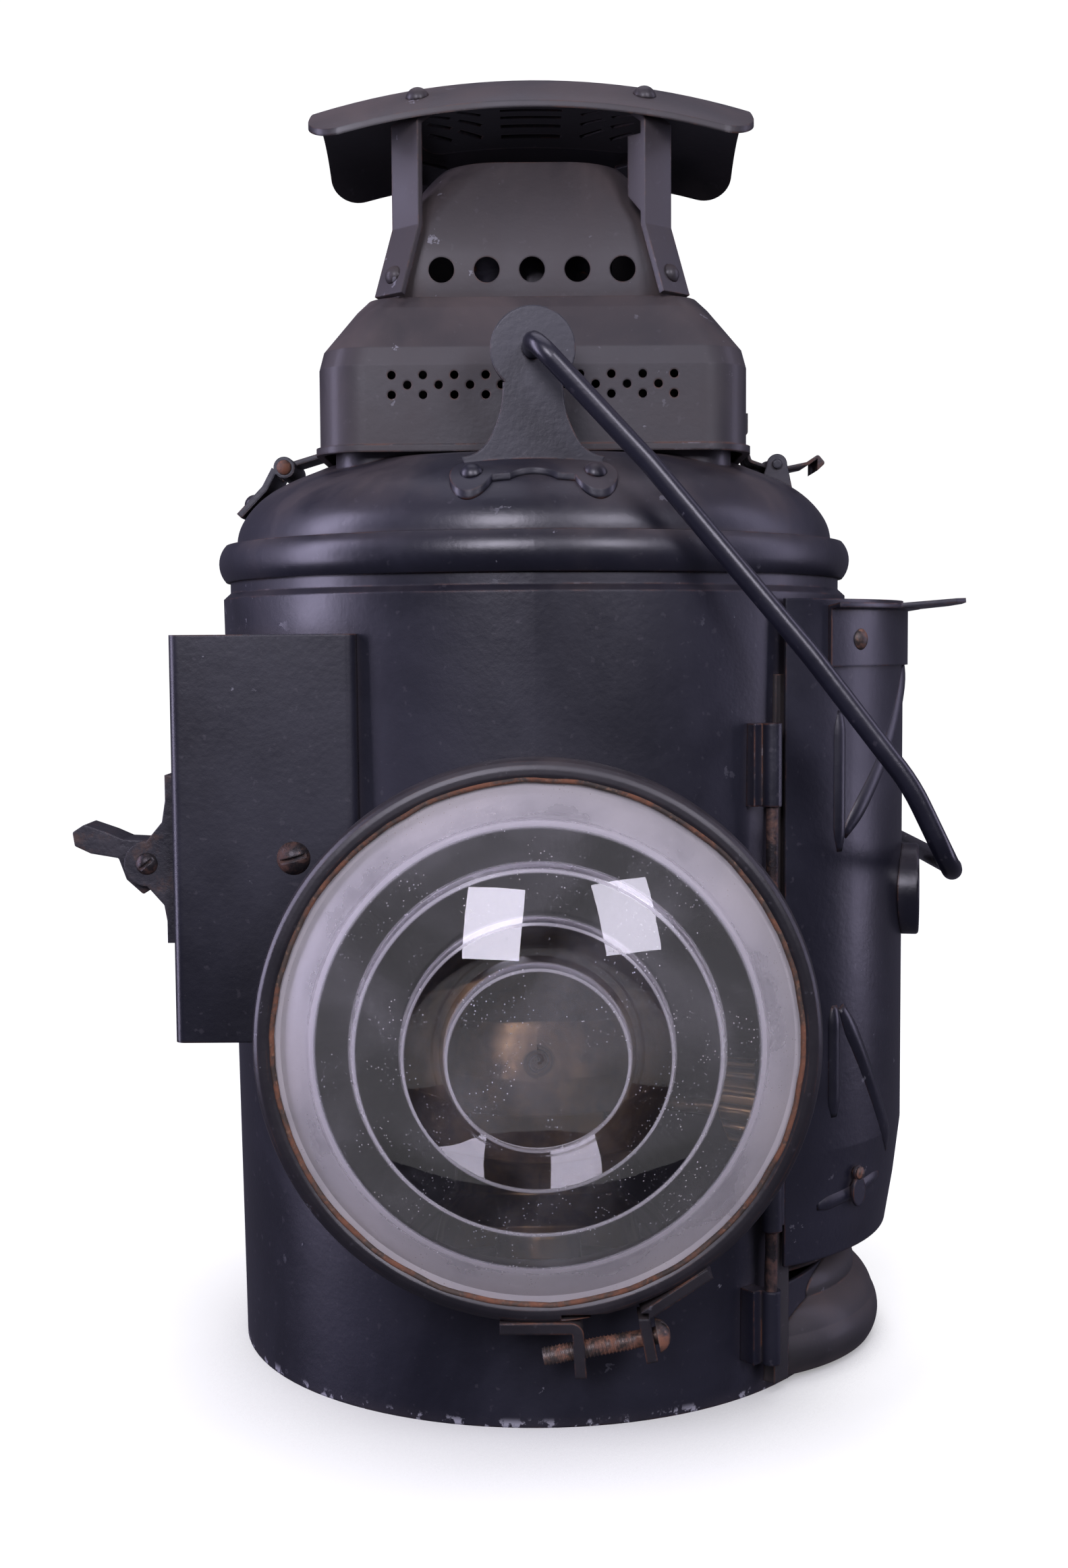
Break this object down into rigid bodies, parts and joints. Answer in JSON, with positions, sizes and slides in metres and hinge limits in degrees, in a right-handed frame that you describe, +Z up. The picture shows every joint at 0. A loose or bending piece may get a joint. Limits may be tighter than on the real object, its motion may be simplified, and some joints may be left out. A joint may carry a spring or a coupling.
{
  "type": "railway signal lamp",
  "caption": "Oil-burning railway signal lamp: drum body with a stepped lens, lifting access door, hinged vented chimney with rain hood, wire bail and a side socket with a cam lock.",
  "frame": {"origin": "centre of the drum's flat foot, on the surface it stands on", "axes": "+Z up along the drum's axis, -Y out through the lens, +X towards the access door"},
  "size_m": [0.2677, 0.2441, 0.4025],
  "materials": {
    "enamel": "worn satin blue-black enamel, dusty, rusted at the edges",
    "bare_iron": "dull steel with brown rust",
    "cast_iron": "painted casting, worn",
    "clear_glass": "clear pressed glass, dusty",
    "gasket": "flat felt packing",
    "burner_brass": "dull aged brass",
    "tinned_sheet": "dull tinned sheet",
    "wick_cotton": "woven cotton"
  },
  "bodies": {
    "lamp_body": {"body_shell": "enamel", "base_pan": "enamel", "door_sill": "enamel", "door_jambs": "enamel", "top_ring": "enamel", "dome_roof": "enamel", "lens_neck": "enamel", "lens_gasket": "gasket", "lens_glass": "clear_glass", "lens_clamp": "enamel", "clamp_screw": "bare_iron", "iron_socket": "enamel", "socket_spring": "bare_iron", "socket_screw": "bare_iron", "lever_bracket": "cast_iron", "lever_pivot": "bare_iron", "guide_rods": "bare_iron", "rod_brackets": "enamel", "hinge_lower": "enamel", "hinge_pin": "bare_iron", "hinge_rivets": "enamel", "catch_lugs": "enamel", "bail_lug_front": "enamel", "bail_lug_rear": "enamel", "lug_rivets": "enamel", "oil_fount": "tinned_sheet", "fount_seat": "tinned_sheet", "filler_cap": "burner_brass", "burner_body": "burner_brass", "wick_tube": "burner_brass", "burner_gallery": "burner_brass"},
    "chimney": {"vent_box": "enamel", "chimney_cone": "enamel", "inner_flue": "tinned_sheet", "hood": "enamel", "hood_liner": "enamel", "hood_legs": "enamel", "leg_rivets": "enamel", "hood_rivets": "enamel", "hinge_upper": "enamel", "lift_tab": "enamel"},
    "bail": {"bail": "enamel"},
    "door": {"door_panel": "enamel", "door_runners": "enamel", "door_bracket": "enamel", "bracket_rivets": "bare_iron", "sight_ring": "enamel", "sight_glass": "clear_glass", "cover_rivet": "bare_iron"},
    "keyhole_cover": {"keyhole_cover": "enamel"},
    "cam_lever": {"cam_lever": "cast_iron"},
    "roof_catch": {"roof_catch": "bare_iron"},
    "wick_feed": {"wick_shaft": "burner_brass", "wick_knob": "burner_brass"},
    "wick": {"wick": "wick_cotton"}
  },
  "joints": [
    {"name": "chimney_tilt", "type": "hinge", "parent": "lamp_body", "child": "chimney", "pos_m": [-0.0795, 0, 0.281], "axis": [0, -1, 0], "range_deg": [0, 105]},
    {"name": "bail_swing", "type": "hinge", "parent": "lamp_body", "child": "bail", "pos_m": [0, 0, 0.308], "axis": [0, -1, 0], "range_deg": [0, 262]},
    {"name": "door_lift", "type": "slide", "parent": "lamp_body", "child": "door", "axis": [0, 0, 1], "range_m": [-0.014, 0.108]},
    {"name": "keyhole_cover_swing", "type": "hinge", "parent": "door", "child": "keyhole_cover", "pos_m": [0.0966, -0.0592, 0.0635], "axis": [0.6921, -0.7218, 0], "range_deg": [-90, 90]},
    {"name": "cam_lever_turn", "type": "hinge", "parent": "lamp_body", "child": "cam_lever", "pos_m": [-0.112, -0.072, 0.162], "axis": [0, 1, 0], "range_deg": [0, 70]},
    {"name": "roof_catch_press", "type": "hinge", "parent": "lamp_body", "child": "roof_catch", "pos_m": [0.078, 0, 0.2812], "axis": [0, 1, 0], "range_deg": [0, 20], "stiffness_Nm_per_rad": 0.3, "springref_deg": -5.73},
    {"name": "wick_turn", "type": "hinge", "parent": "lamp_body", "child": "wick_feed", "pos_m": [0, 0.0056, 0.078], "axis": [-1, 0, 0], "range_deg": [-60, 105]},
    {"name": "wick_rise", "type": "slide", "parent": "lamp_body", "child": "wick", "axis": [0, 0, 1], "range_m": [-0.0046, 0.0079]}
  ],
  "couplings": [
    {"joint": "wick_rise", "follows": "wick_turn", "m_per_rad": 0.0042}
  ]
}
